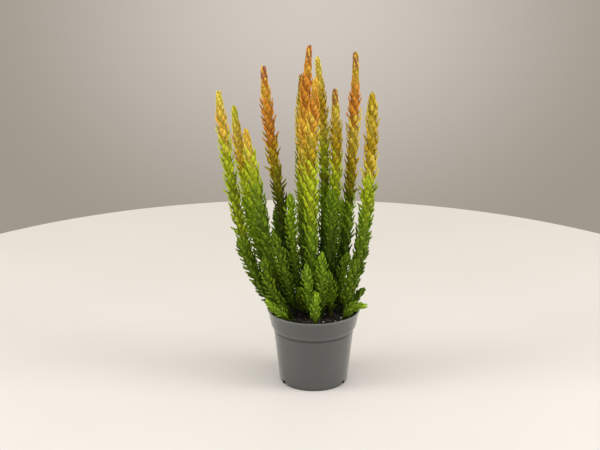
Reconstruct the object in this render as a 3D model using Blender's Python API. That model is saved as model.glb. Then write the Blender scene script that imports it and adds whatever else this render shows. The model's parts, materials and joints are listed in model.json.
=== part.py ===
"""Potted heather: a 6 cm nursery pot of peat with upright stems clothed in scale-like leaves."""
from math import cos, pi, radians, sin
from typing import NamedTuple

import bmesh
import bpy
import numpy as np
from mathutils import Matrix, Vector

MM = 0.001
GAP = 0.3

# Pot, in millimetres
POT_HEIGHT = 50.0
RIM_RADIUS = 30.0
BAND_BOTTOM = 39.8
BAND_RADIUS = 27.7
BODY_TOP = 35.8
BODY_RADIUS = 25.9
BASE_RADIUS = 22.0
BASE_CHAMFER = 0.7
WALL = 0.9
LIP_ROUND = 0.3
FLOOR_TOP = 2.0
FOOT_RING_INNER = 18.6
BOSS_RADIUS = 6.0
RECESS_DEPTH = 1.0
RECESS_DRAFT = 0.6
POT_SIDES = 40

# Drain openings, in millimetres and degrees
DRAIN_COUNT = 6
DRAIN_SIDES = 10
DRAIN_RADIUS = 1.8
DRAIN_RING = 12.5
NOTCH_ANGLES = (-150.0, -30.0, 90.0)
NOTCH_WIDTH = 3.6
NOTCH_HEIGHT = 2.9
NOTCH_INNER = 19.4

# Peat, in millimetres
SOIL_TOP = 46.0
SOIL_EDGE_DROP = 1.0
SOIL_FOLD_DROP = 0.2
SOIL_ROOM = 0.1
SOIL_RINGS = (7.0, 14.0, 20.5, 25.5)
SOIL_SIDES = 32
HOLE_DEPTH = 9.0
FOOT_RING = 22.3

# Waves of the peat's top: height in millimetres, lobes round the pot, turn per millimetre, start
SOIL_WAVES = ((0.25, 3.0, 0.21, 0.0), (0.25, 5.0, -0.37, 1.3), (0.3, 0.0, 0.3, pi / 2.0))

# Stems, in millimetres
FOOT_DEPTH = 8.7
COLLAR = 1.2
FOLIAGE_START = 2.6
SAMPLES = 26
BARE_TIP = 1.4
STEP_REACH = 2.0


class Foliage(NamedTuple):
    """Sizes of one kind of leafy stem, in millimetres."""
    stem: float
    tip_reach: float
    reach: float
    slim: float
    swell: float
    spacing: float
    rise: float


LONG = Foliage(stem=1.3, tip_reach=2.0, reach=5.0, slim=6.0, swell=20.0, spacing=5.5, rise=1.7)
SHORT = Foliage(stem=1.1, tip_reach=2.1, reach=3.9, slim=0.0, swell=14.0, spacing=5.1, rise=1.5)

# Leaves, as shares of their full size or of their own length
TIP_SPACING = 0.6
SLIM_STEM = 0.45
SHADED_REACH = 0.6
BUD_SHARE = 0.6
LEAF_MIDDLE = 0.6
LEAF_HALF_WIDTH = 0.27
LEAF_ROOM = 0.85

# Leaves, in millimetres
SHADED_HEIGHT = 24.0
BUD_LENGTH = 4.0
BUD_TIP = 0.4
LEAF_KEEL = 0.6
LEAF_INSET = 0.15

# Turn of each stem's leaf ranks against the stem before, in degrees
TURN_STEP = 37.0

# Bending the stems clear of one another: rounds, millimetres and shares
CLEAR_ROUNDS = 260
CLEAR_GAP = 0.35
SIDE_GIVE = 0.45
SOFTEN = 6
TINY = 1e-6

# Stems: foot (x, y), a point half way, and tip, in millimetres from the pot's centre
SPIKES = {
    "spike_far_left": ((-22, -1), (-46, -1, 106), (-60, 4, 194)),
    "spike_rear_left": ((-20, 6), (-39, 13, 106), (-51, 16, 181)),
    "spike_front_left": ((-18, -5), (-32, -9, 110), (-43, -8, 173)),
    "spike_orange_left": ((-6, 11), (-22, 10, 122), (-32, 12, 208)),
    "spike_rear_middle": ((-5, 17), (-8, 20, 125), (-8, 22, 200)),
    "spike_tallest": ((-2, 5), (-6, 5, 140), (-3, 5, 223)),
    "spike_front": ((1, -3), (-2, -9, 129), (1, -9, 206)),
    "spike_rear_tall": ((5, 14), (7, 18, 130), (2, 20, 212)),
    "spike_inner_right": ((11, 10), (14, 9, 123), (13, 9, 194)),
    "spike_right_tall": ((13, 14), (23, 13, 128), (26, 16, 216)),
    "spike_far_right": ((20, 8), (33, 0, 114), (36, -3, 195)),
}
SHOOTS = {
    "shoot_left": ((-20, -9), (-37, -12, 76), (-48, -12, 101)),
    "shoot_left_front": ((-14, -10), (-28, -16, 69), (-30, -17, 91)),
    "shoot_left_inner": ((-11, -4), (-20, -15, 83), (-25, -18, 107)),
    "shoot_left_middle": ((-18, 2), (-34, 3, 84), (-45, 4, 124)),
    "shoot_left_rear": ((-13, 17), (-20, 19, 82), (-25, 19, 110)),
    "shoot_middle": ((-8, 5), (-13, -2, 90), (-15, -2, 128)),
    "shoot_front_left": ((-2, -9), (-4, -16, 69), (-5, -18, 86)),
    "shoot_front_right": ((5, -8), (5, -14, 73), (5, -15, 93)),
    "shoot_middle_right": ((10, -1), (11, -7, 63), (9, -8, 78)),
    "shoot_green": ((7, 4), (10, 1, 90), (11, 0, 130)),
    "shoot_right": ((15, 7), (19, 2, 72), (22, -2, 88)),
    "shoot_right_front": ((20, -6), (23, -14, 71), (28, -15, 90)),
    "shoot_far_right": ((18, 0), (30, -11, 95), (34, -12, 144)),
    "shoot_rim_left": ((-15, -15), (-24, -17, 56), (-30, -18, 63)),
    "shoot_rim_middle": ((-6, -1), (-9, -7, 57), (-10, -11, 68)),
    "shoot_rim_front": ((1, -22), (1, -23, 59), (2, -23, 69)),
    "shoot_rim_right": ((19, -11), (26, -15, 56), (34, -17, 56)),
    "shoot_low_right": ((22, 3), (28, 2, 57), (33, 1, 62)),
    "shoot_rear_left": ((-16, 14), (-27, 19, 68), (-37, 22, 88)),
    "shoot_rear_middle": ((-1, 22), (0, 28, 90), (-1, 31, 130)),
    "shoot_rear_right": ((12, 18), (18, 25, 82), (19, 28, 112)),
    "shoot_rear_far_right": ((18, 13), (29, 14, 74), (33, 15, 98)),
}

# Colours, as linear red, green and blue, and roughness
POT_GREY = (0.125, 0.130, 0.118)
PEAT_BROWN = (0.012, 0.009, 0.007)
LEAF_GREEN = (0.085, 0.170, 0.012)
LEAF_GOLD = (0.330, 0.260, 0.020)
LEAF_ORANGE = (0.350, 0.130, 0.012)
POT_ROUGHNESS = 0.55
PEAT_ROUGHNESS = 0.95
LEAF_ROUGHNESS = 0.6
SPIKE_COLOURS = {
    "spike_orange_left": LEAF_ORANGE,
    "spike_tallest": LEAF_ORANGE,
    "spike_front": LEAF_ORANGE,
    "spike_right_tall": LEAF_ORANGE,
}


def clear_scene():
    """Remove every object that the file holds."""
    for item in list(bpy.data.objects):
        bpy.data.objects.remove(item, do_unlink=True)


def make_material(name, colour, roughness):
    """A plain principled material."""
    material = bpy.data.materials.new(name)
    material.use_nodes = True
    shader = material.node_tree.nodes["Principled BSDF"]
    shader.inputs["Base Color"].default_value = (*colour, 1.0)
    shader.inputs["Roughness"].default_value = roughness
    shader.inputs["Metallic"].default_value = 0.0
    return material


def make_object(name, form, material=None):
    """Turn a bmesh drawn in millimetres into an object in metres."""
    bmesh.ops.scale(form, vec=Vector((MM, MM, MM)), verts=form.verts)
    mesh = bpy.data.meshes.new(name)
    form.to_mesh(mesh)
    form.free()
    item = bpy.data.objects.new(name, mesh)
    bpy.context.scene.collection.objects.link(item)
    if material:
        mesh.materials.append(material)
    return item


def subtract(item, cutter):
    """Cut one object out of another."""
    cutter.hide_render = True
    cutter.display_type = "WIRE"
    cut = item.modifiers.new(cutter.name, "BOOLEAN")
    cut.operation = "DIFFERENCE"
    cut.object = cutter


def turn_profile(profile, sides):
    """Turn a profile of (radius, height) whose two ends lie on the axis."""
    form = bmesh.new()
    first = form.verts.new((0.0, 0.0, profile[0][1]))
    last = form.verts.new((0.0, 0.0, profile[-1][1]))
    angles = [2.0 * pi * side / sides for side in range(sides)]
    rings = []
    for radius, height in profile[1:-1]:
        rings.append([form.verts.new((radius * cos(a), radius * sin(a), height)) for a in angles])
    for side in range(sides):
        after = (side + 1) % sides
        form.faces.new((first, rings[0][after], rings[0][side]))
        form.faces.new((last, rings[-1][side], rings[-1][after]))
        for low, high in zip(rings, rings[1:]):
            form.faces.new((low[side], low[after], high[after], high[side]))
    return form


def pot_profile():
    """Section of the pot, from the boss under its base, over the rim, to its floor."""
    inner_band = BAND_RADIUS - WALL
    inner_body = BODY_RADIUS - WALL
    inner_base = BASE_RADIUS - WALL
    return [
        (0.0, 0.0),
        (BOSS_RADIUS, 0.0),
        (BOSS_RADIUS + RECESS_DRAFT, RECESS_DEPTH),
        (FOOT_RING_INNER - RECESS_DRAFT, RECESS_DEPTH),
        (FOOT_RING_INNER, 0.0),
        (BASE_RADIUS - BASE_CHAMFER, 0.0),
        (BASE_RADIUS, BASE_CHAMFER),
        (BODY_RADIUS, BODY_TOP),
        (BAND_RADIUS, BAND_BOTTOM),
        (RIM_RADIUS, POT_HEIGHT - LIP_ROUND),
        (RIM_RADIUS - LIP_ROUND, POT_HEIGHT),
        (RIM_RADIUS - WALL + LIP_ROUND, POT_HEIGHT),
        (RIM_RADIUS - WALL, POT_HEIGHT - LIP_ROUND),
        (inner_band, BAND_BOTTOM),
        (inner_body, BODY_TOP),
        (inner_base, FLOOR_TOP),
        (0.0, FLOOR_TOP),
    ]


def inner_radius(height):
    """Radius of the pot's inside at a height."""
    heights = (FLOOR_TOP, BODY_TOP, BAND_BOTTOM, POT_HEIGHT)
    radii = (BASE_RADIUS - WALL, BODY_RADIUS - WALL, BAND_RADIUS - WALL, RIM_RADIUS - WALL)
    return float(np.interp(height, heights, radii))


def make_drains():
    """Round holes through the floor and square notches through the base corner, as one cutter."""
    form = bmesh.new()
    for step in range(DRAIN_COUNT):
        angle = 2.0 * pi * (step + 0.5) / DRAIN_COUNT
        place = Vector((DRAIN_RING * cos(angle), DRAIN_RING * sin(angle), FLOOR_TOP / 2))
        bmesh.ops.create_cone(
            form, cap_ends=True, segments=DRAIN_SIDES, radius1=DRAIN_RADIUS,
            radius2=DRAIN_RADIUS, depth=2.0 * FLOOR_TOP, matrix=Matrix.Translation(place))
    notch_length = 2.0 * (BASE_RADIUS - NOTCH_INNER)
    for degrees in NOTCH_ANGLES:
        turn = Matrix.Rotation(radians(degrees), 4, "Z")
        place = Matrix.Translation((NOTCH_INNER + notch_length / 2, 0.0, 0.0))
        size = Matrix.Diagonal((notch_length, NOTCH_WIDTH, 2.0 * NOTCH_HEIGHT, 1.0))
        bmesh.ops.create_cube(form, size=1.0, matrix=turn @ place @ size)
    return make_object("drain_cutter", form)


def make_pot():
    """The thin plastic pot with its rim band, foot ring and drain openings."""
    form = turn_profile(pot_profile(), POT_SIDES)
    pot = make_object("pot", form, make_material("pot_plastic", POT_GREY, POT_ROUGHNESS))
    subtract(pot, make_drains())
    return pot


def soil_height(radius, angle):
    """Height of the peat's lumpy top."""
    lumps = [size * sin(lobes * angle + turn * radius + start)
             for size, lobes, turn, start in SOIL_WAVES]
    return SOIL_TOP + sum(lumps)


def make_soil(stems):
    """The peat that fills the pot, with a square hole for each stem's foot."""
    form = bmesh.new()
    angles = [2.0 * pi * side / SOIL_SIDES for side in range(SOIL_SIDES)]
    wall_heights = (
        SOIL_TOP - SOIL_EDGE_DROP,
        BAND_BOTTOM - SOIL_FOLD_DROP,
        BODY_TOP - SOIL_FOLD_DROP,
        FLOOR_TOP + GAP,
    )
    rings = []
    for radius in SOIL_RINGS:
        rings.append([(radius * cos(a), radius * sin(a), soil_height(radius, a)) for a in angles])
    for height in wall_heights:
        radius = inner_radius(height) - GAP - SOIL_ROOM
        rings.append([(radius * cos(a), radius * sin(a), height) for a in angles])
    loops = [[form.verts.new(point) for point in ring] for ring in rings]
    top = form.verts.new((0.0, 0.0, soil_height(0.0, 0.0)))
    for side in range(SOIL_SIDES):
        after = (side + 1) % SOIL_SIDES
        form.faces.new((top, loops[0][side], loops[0][after]))
        for inner, outer in zip(loops, loops[1:]):
            form.faces.new((inner[after], inner[side], outer[side]))
            form.faces.new((inner[after], outer[side], outer[after]))
    form.faces.new(list(reversed(loops[-1])))
    soil = make_object("soil", form, make_material("peat", PEAT_BROWN, PEAT_ROUGHNESS))
    subtract(soil, make_holes(stems))
    return soil


def make_holes(stems):
    """Square holes that leave a small gap round and under each stem's foot, as one cutter."""
    form = bmesh.new()
    for stem in stems:
        corner = stem["kind"].stem + GAP * 2.0 ** 0.5
        foot = stem["path"][0]
        middle = Vector((foot[0], foot[1], foot[2] - COLLAR))
        place = Matrix.Translation(middle) @ Matrix.Rotation(stem["turn"] + pi / 4.0, 4, "Z")
        bmesh.ops.create_cone(
            form, cap_ends=True, segments=4, radius1=corner, radius2=corner,
            depth=2.0 * HOLE_DEPTH, matrix=place)
    return make_object("hole_cutter", form)


def smooth_step(value):
    """Ease from 0 to 1."""
    value = np.clip(value, 0.0, 1.0)
    return value * value * (3.0 - 2.0 * value)


def swelling(kind, below_tip):
    """Share of its full size that the foliage has reached at a distance below the tip."""
    return smooth_step((below_tip - kind.slim) / kind.swell)


def foliage_reach(kind, below_tip, above_soil):
    """How far leaf tips stand from the stem's centre."""
    reach = kind.tip_reach + (kind.reach - kind.tip_reach) * swelling(kind, below_tip)
    reach *= BUD_SHARE + (1.0 - BUD_SHARE) * smooth_step(below_tip / BUD_LENGTH)
    shade = SHADED_REACH + (1.0 - SHADED_REACH) * smooth_step(above_soil / SHADED_HEIGHT)
    return reach * shade


def draw_path(foot, middle, tip):
    """Points along a smooth curve from the foot, through the middle point, to the tip."""
    start = np.array((*foot, SOIL_TOP + COLLAR))
    middle = np.array(middle, dtype=float)
    tip = np.array(tip, dtype=float)
    control = 2.0 * middle - 0.5 * (start + tip)
    along = np.linspace(0.0, 1.0, SAMPLES)[:, None]
    return (1.0 - along) ** 2 * start + 2.0 * along * (1.0 - along) * control + along ** 2 * tip


def path_lengths(path):
    """Distance along a path to each of its points."""
    steps = np.linalg.norm(np.diff(path, axis=0), axis=1)
    return np.concatenate(((0.0,), np.cumsum(steps)))


def path_reach(kind, path):
    """Foliage reach at each point of a path."""
    lengths = path_lengths(path)
    return foliage_reach(kind, lengths[-1] - lengths, lengths)


def push_apart(points, wanted):
    """Half of what each point lacks to its worst neighbour on another stem, level with the soil."""
    flat = points.reshape(-1, 3)
    away = flat[:, None, :] - flat[None, :, :]
    missing = wanted - np.linalg.norm(away, axis=2)
    rows = np.arange(len(flat))
    nearest = missing.argmax(axis=1)
    amount = np.clip(missing[rows, nearest], 0.0, None)[:, None]
    aside = away[rows, nearest, :2]
    aside /= np.linalg.norm(aside, axis=1, keepdims=True) + TINY
    return (0.5 * amount * aside * (SIDE_GIVE, 1.0)).reshape(*points.shape[:2], 2)


def push_off_wall(points, reach):
    """How far each point below the rim has to move in from the pot's wall."""
    limit = RIM_RADIUS - WALL - GAP - reach
    limit[:, 0] = FOOT_RING
    radius = np.hypot(points[..., 0], points[..., 1])
    excess = np.clip(radius - limit, 0.0, None) * (points[..., 2] < POT_HEIGHT + GAP)
    return -points[..., :2] * (excess / (radius + TINY))[..., None]


def soften(push):
    """Spread a push along its stem, so that the stem bends and has no kink."""
    for _ in range(SOFTEN):
        padded = np.pad(push, ((0, 0), (1, 1), (0, 0)), mode="edge")
        push = 0.25 * padded[:, :-2] + 0.5 * padded[:, 1:-1] + 0.25 * padded[:, 2:]
    return push


def bend_clear(stems):
    """Bend the stems apart, mostly in depth, until no stem's foliage reaches another's."""
    points = np.stack([stem["path"] for stem in stems])
    reach = np.stack([path_reach(stem["kind"], stem["path"]) for stem in stems])
    owner = np.repeat(np.arange(len(stems)), SAMPLES)
    wanted = reach.reshape(-1, 1) + reach.reshape(1, -1) + CLEAR_GAP
    wanted[owner[:, None] == owner[None, :]] = 0.0
    for _ in range(CLEAR_ROUNDS):
        push = push_apart(points, wanted) + push_off_wall(points, reach)
        points[..., :2] += soften(push)
    for stem, path in zip(stems, points):
        stem["path"] = path


def ring_distances(kind, length):
    """Distances along a stem of the rings that its leaf pairs grow between."""
    below_tip = [BARE_TIP]
    while below_tip[-1] < length - FOLIAGE_START:
        share = TIP_SPACING + (1.0 - TIP_SPACING) * swelling(kind, below_tip[-1])
        below_tip.append(below_tip[-1] + kind.spacing * share)
    below_tip = np.array(below_tip)
    stretch = (length - FOLIAGE_START - BARE_TIP) / (below_tip[-1] - BARE_TIP)
    return length - (BARE_TIP + (below_tip - BARE_TIP) * stretch)[::-1]


def points_along(path, distances):
    """Points at the given distances along a path."""
    lengths = path_lengths(path)
    return np.stack([np.interp(distances, lengths, path[:, axis]) for axis in range(3)], axis=1)


def carry_frames(path, distances, turn):
    """Centre, direction and two sideways directions at each distance, carried without twist."""
    centres = points_along(path, distances)
    steps = points_along(path, distances + STEP_REACH) - points_along(path, distances - STEP_REACH)
    frames = []
    side = np.array((cos(turn), sin(turn), 0.0))
    for centre, step in zip(centres, steps):
        axis = step / np.linalg.norm(step)
        side = side - axis * side.dot(axis)
        side /= np.linalg.norm(side)
        frames.append((centre, axis, side, np.cross(axis, side)))
    return frames


def ring_corners(frame, radius):
    """Four corners of the stem, in the planes between its four ranks of leaves."""
    centre, _, side, across = frame
    corners = []
    for quarter in range(4):
        angle = pi * (0.5 * quarter - 0.25)
        corners.append(centre + radius * (cos(angle) * side + sin(angle) * across))
    return corners


def add_leaf(form, quad, frame, quarter, rise, reach):
    """Raise one keeled, pointed leaf from a side of the stem."""
    low_left, low_right, high_right, high_left = quad
    centre, axis, side, across = frame
    angle = 0.5 * pi * quarter
    outward = cos(angle) * side + sin(angle) * across
    sideways = np.cross(axis, outward)
    root = (np.array(low_left.co) + np.array(low_right.co)) / 2.0
    root_reach = (root - centre).dot(outward)
    run = axis * rise + outward * (reach - root_reach)
    back = outward * rise - axis * (reach - root_reach)
    back /= np.linalg.norm(back)
    middle = root + LEAF_MIDDLE * run
    shoulder = middle - LEAF_INSET * back
    half_width = min(LEAF_HALF_WIDTH * rise, LEAF_ROOM * (shoulder - centre).dot(outward))
    tip = form.verts.new(root + run)
    keel = form.verts.new(middle + LEAF_KEEL * back)
    left = form.verts.new(shoulder - half_width * sideways)
    right = form.verts.new(shoulder + half_width * sideways)
    form.faces.new((low_left, low_right, keel))
    form.faces.new((low_left, keel, left))
    form.faces.new((low_right, right, keel))
    form.faces.new((left, keel, tip))
    form.faces.new((keel, right, tip))
    form.faces.new((right, left, tip))
    form.faces.new((low_left, left, high_left))
    form.faces.new((low_right, high_right, right))
    form.faces.new((high_left, left, right))
    form.faces.new((high_left, right, high_right))


def stem_thickness(kind, below_tip):
    """Radius of the stem's corners, slimmer towards its tip."""
    return kind.stem * (SLIM_STEM + (1.0 - SLIM_STEM) * swelling(kind, below_tip))


def make_stem(stem):
    """One leafy stem: a four-sided stem with leaves in crossed pairs, as one closed body."""
    kind, path = stem["kind"], stem["path"]
    length = path_lengths(path)[-1]
    distances = ring_distances(kind, length)
    frames = carry_frames(path, distances, stem["turn"])
    form = bmesh.new()
    rings = []
    for drop in (COLLAR + FOOT_DEPTH, 0.0):
        low = path[0] - (0.0, 0.0, drop)
        upright = carry_frames(np.stack((low, low + (0.0, 0.0, 1.0))), np.zeros(1), stem["turn"])[0]
        rings.append([form.verts.new(point) for point in ring_corners(upright, kind.stem)])
    for frame, distance in zip(frames, distances):
        radius = stem_thickness(kind, length - distance)
        rings.append([form.verts.new(point) for point in ring_corners(frame, radius)])
    form.faces.new(list(reversed(rings[0])))
    for step, (low, high) in enumerate(zip(rings, rings[1:])):
        leaf_step = step - 2
        for quarter in range(4):
            after = (quarter + 1) % 4
            quad = (low[quarter], low[after], high[after], high[quarter])
            if leaf_step >= 0 and (leaf_step + quarter) % 2 == 0:
                start, end = distances[leaf_step:leaf_step + 2]
                rise = min(kind.rise * (end - start), length - BUD_TIP - start)
                reach = foliage_reach(kind, length - start - rise, start + rise)
                add_leaf(form, quad, frames[leaf_step], quarter, rise, reach)
            else:
                form.faces.new(quad)
    apex = form.verts.new(path[-1])
    for quarter in range(4):
        form.faces.new((rings[-1][quarter], rings[-1][(quarter + 1) % 4], apex))
    colour = SPIKE_COLOURS.get(stem["name"], LEAF_GOLD if kind is LONG else LEAF_GREEN)
    material = make_material(stem["name"] + "_leaf", colour, LEAF_ROUGHNESS)
    return make_object(stem["name"], form, material)


def plan_stems():
    """Every stem with its kind of foliage and its path, bent clear of its neighbours."""
    stems = []
    for kind, table in ((LONG, SPIKES), (SHORT, SHOOTS)):
        for name, points in table.items():
            turn = radians(TURN_STEP * len(stems))
            stems.append({"name": name, "kind": kind, "turn": turn, "path": draw_path(*points)})
    bend_clear(stems)
    return stems


def main():
    """Build the whole potted plant."""
    clear_scene()
    stems = plan_stems()
    make_pot()
    make_soil(stems)
    for stem in stems:
        make_stem(stem)


main()
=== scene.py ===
"""Potted heather: leafy stems, peat and nursery pot, dressed on the packed model."""
import json
from math import cos, pi, radians, sin

import bmesh
import bpy
import numpy as np
from bpy.props import FloatProperty, FloatVectorProperty, IntProperty, PointerProperty
from mathutils import Matrix, Vector, noise


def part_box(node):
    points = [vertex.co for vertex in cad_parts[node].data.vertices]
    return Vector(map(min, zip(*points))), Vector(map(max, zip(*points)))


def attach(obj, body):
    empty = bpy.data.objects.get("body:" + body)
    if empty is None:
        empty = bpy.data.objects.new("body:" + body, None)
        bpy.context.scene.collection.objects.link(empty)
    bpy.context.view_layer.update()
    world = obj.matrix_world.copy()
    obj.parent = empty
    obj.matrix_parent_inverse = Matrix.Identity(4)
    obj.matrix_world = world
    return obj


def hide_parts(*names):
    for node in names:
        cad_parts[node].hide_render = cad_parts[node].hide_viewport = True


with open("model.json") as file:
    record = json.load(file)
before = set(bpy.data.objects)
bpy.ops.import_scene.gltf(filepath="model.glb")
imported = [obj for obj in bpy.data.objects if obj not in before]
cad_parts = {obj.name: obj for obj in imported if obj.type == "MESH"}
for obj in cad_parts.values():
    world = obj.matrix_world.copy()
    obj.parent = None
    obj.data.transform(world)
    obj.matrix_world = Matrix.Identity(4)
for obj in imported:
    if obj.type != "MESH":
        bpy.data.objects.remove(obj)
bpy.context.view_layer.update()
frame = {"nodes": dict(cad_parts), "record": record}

bl_info = {
    "name": "Potted heather",
    "version": (1, 0, 0),
    "blender": (4, 5, 0),
    "location": "View3D > Sidebar > Heather",
    "description": "Leafy stems in crossed pairs, crumbly peat and a grey nursery pot",
    "category": "Object",
}

MM = 0.001
BODY = "root"
SOIL_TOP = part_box("soil")[1][2]
# Turn in radians from one leaf or bit to the next, so that none line up
GOLDEN_TURN = 2.399963
# Values between which most of the noise lies
NOISE_SPAN = (0.3, 0.7)

# Section of the pot: radius, height and rounding of each corner, in millimetres
POT_CORNERS = (
    (0.0, 0.0, 0.0),
    (6.0, 0.0, 0.25),
    (6.6, 1.0, 0.3),
    (18.0, 1.0, 0.3),
    (18.6, 0.0, 0.2),
    (21.3, 0.0, 0.3),
    (22.0, 0.8, 0.5),
    (25.9, 35.8, 1.2),
    (27.6, 38.9, 0.9),
    (27.75, 39.9, 0.5),
    (29.45, 48.3, 0.4),
    (29.95, 48.8, 0.3),
    (30.0, 50.0, 0.45),
    (29.1, 50.0, 0.4),
    (26.8, 39.8, 1.0),
    (25.0, 35.8, 1.0),
    (21.1, 2.0, 0.8),
    (0.0, 2.0, 0.0),
)
ROUND_STEPS = 5
# Openings in the pot's floor and base corner, in millimetres, and their turns in degrees
FLOOR_TOP = 2.0
DRAIN_RING = 12.5
DRAIN_FACES = 28
NOTCH_TURNS = (-150.0, -30.0, 90.0)
NOTCH_INNER = 19.4
NOTCH_REACH = 5.2
NOTCH_ROUND = 0.5
NOTCH_ROUND_STEPS = 3
# Edges of the pot that bend by more than this many degrees stay crisp
SHARP_ANGLE = 34.0
# Heights between which the pot's finish changes, in millimetres: painted shade in the hollow under
# the rim band and at the foot, a painted highlight on the lip, and dust near the rim and the foot
HOLLOW_START = (34.6, 35.6)
HOLLOW_END = (36.6, 37.6)
FOOT_EDGE = (1.6, 0.4)
LIP_EDGE = (49.0, 49.6)
DUSTY_RIM = (46.0, 49.8)
DUSTY_FOOT = (4.0, 0.0)
# Tones of the plastic as shares of its grey: its faint clouds, its painted shade and its painted
# highlight on the lip; and the colour of the dust on it
PLASTIC_CLOUD = (0.56, 0.70)
PLASTIC_SHADE = 0.25
PLASTIC_LIP_HIGHLIGHT = 2.0
DUST_COLOUR = (0.035, 0.027, 0.021)
# How far the plastic's dullness strays from its setting, and how dull the dust is
DULLNESS_SPREAD = (-0.06, 0.08)
DUST_DULLNESS = 0.9

# Inside of the pot: heights and radii that the peat fills up to, in millimetres
FILL_HEIGHTS = (2.3, 35.6, 39.6, 45.2)
FILL_RADII = (20.7, 24.6, 26.3, 27.55)
FILL_STEPS = 4
FILL_DROP = 1.6
PEAT_SIDES = 120
PEAT_RINGS = 46
# Top of the peat: its level, and how it drops past a radius, in millimetres
PEAT_LEVEL = 46.0
PEAT_FLAT = 23.5
PEAT_FALL = 4.0
PEAT_DROP = 1.1
# Lumps in the peat: waves in a millimetre, share of the lump height, place in the noise
PEAT_LUMPS = (
    (0.11, 0.55, (3.1, 7.7, 0.4)),
    (0.33, 0.70, (1.3, 2.9, 5.1)),
    (0.95, 0.35, (8.3, 0.2, 9.4)),
)
# Tones of the peat as shares of its colour, and its earthy patches in red, green and blue
PEAT_TONES = (0.35, 2.1)
PEAT_EARTH = Vector((3.4, 2.8, 2.2))
# Crumbs in a square metre at most, the least of them as a share of the largest, and how flat
CRUMB_DENSITY = 1.4e6
CRUMB_LEAST = 0.30
CRUMB_FLAT = 0.55
# Form of a crumb one unit across: its radius, how rough it is, its waves and their place in noise
CRUMB_ROUND = 0.85
CRUMB_ROUGH = 0.5
CRUMB_WAVES = 1.7
CRUMB_SHIFT = Vector((4.4, 1.9, 6.2))
# Crumbs lie above this height, in millimetres
CRUMB_LOWEST = 43.2
# How far a small bit may stray from its turn round the peat, in radians
STRAY_TURN = 0.5
# Small grains: how far from the middle they lie, and their radii, in millimetres
GRAIN_REACH = 26.0
GRAIN_RADII = (0.3, 0.7)
# Form of a grain: share of its radius, how rough it is, and its waves in a metre
GRAIN_ROUND = 0.8
GRAIN_ROUGH = 0.55
GRAIN_WAVES = 1300.0
# Large grains on the peat: x, y and radius in millimetres
LARGE_GRAINS = ((16.5, 17.0, 1.0), (17.6, -9.5, 0.75), (6.0, -17.0, 0.55), (14.0, -14.0, 0.5))
# How high a grain's middle lies above the peat, as a share of its radius
GRAIN_LIFT = 0.75
# Fibres: how far from the middle they lie and reach, their sizes and arch, in millimetres
FIBRE_REACH = 26.5
FIBRE_LIMIT = 27.0
FIBRE_LENGTHS = (1.6, 5.0)
FIBRE_RADII = (0.09, 0.2)
FIBRE_ARCH = 0.3
# Fibres: most bend in radians, height above the peat as a share of a crumb, rings and sides
FIBRE_BEND = 0.8
FIBRE_LIFT = 0.62
FIBRE_RINGS = 7
FIBRE_SIDES = 4
# How much of its girth a fibre loses at its ends
FIBRE_TAPER = 0.8
# What the grains and the fibres add to the seed
GRAIN_SEED = 20
FIBRE_SEED = 40
# Foot, middle and tip of the sprig that lies on the peat, in millimetres
SPRIG = ((10.5, -5.0, 44.0), (11.4, -3.6, 46.4), (12.2, -1.6, 49.6))

# Leaf blank, one unit long: share of its length, half width, thickness
LEAF_STATIONS = (
    (0.00, 0.62, 0.75),
    (0.14, 0.90, 0.95),
    (0.32, 1.00, 1.00),
    (0.52, 0.92, 0.95),
    (0.71, 0.68, 0.82),
    (0.87, 0.38, 0.58),
    (0.96, 0.17, 0.34),
)
BLUNT_STATIONS = (
    (0.00, 0.52, 0.75),
    (0.14, 0.82, 0.95),
    (0.32, 1.00, 1.05),
    (0.54, 1.02, 1.00),
    (0.74, 0.85, 0.90),
    (0.89, 0.57, 0.68),
    (0.97, 0.28, 0.42),
)
# Round the leaf: share of the half width, share of the thickness
LEAF_RIM = ((-1.0, 0.1), (-0.6, 0.72), (0.0, 1.0), (0.6, 0.72), (1.0, 0.1), (0.0, -0.1))
# Where the leaf's tip lies outwards: share of the bow, share of the thickness
LEAF_TIP = (0.8, 0.1)
# Width, thickness and outward bow of each kind of leaf, as shares of its length
POINTED_LEAF = (0.245, 0.20, 0.10)
BLUNT_LEAF = (0.255, 0.22, 0.12)

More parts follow.
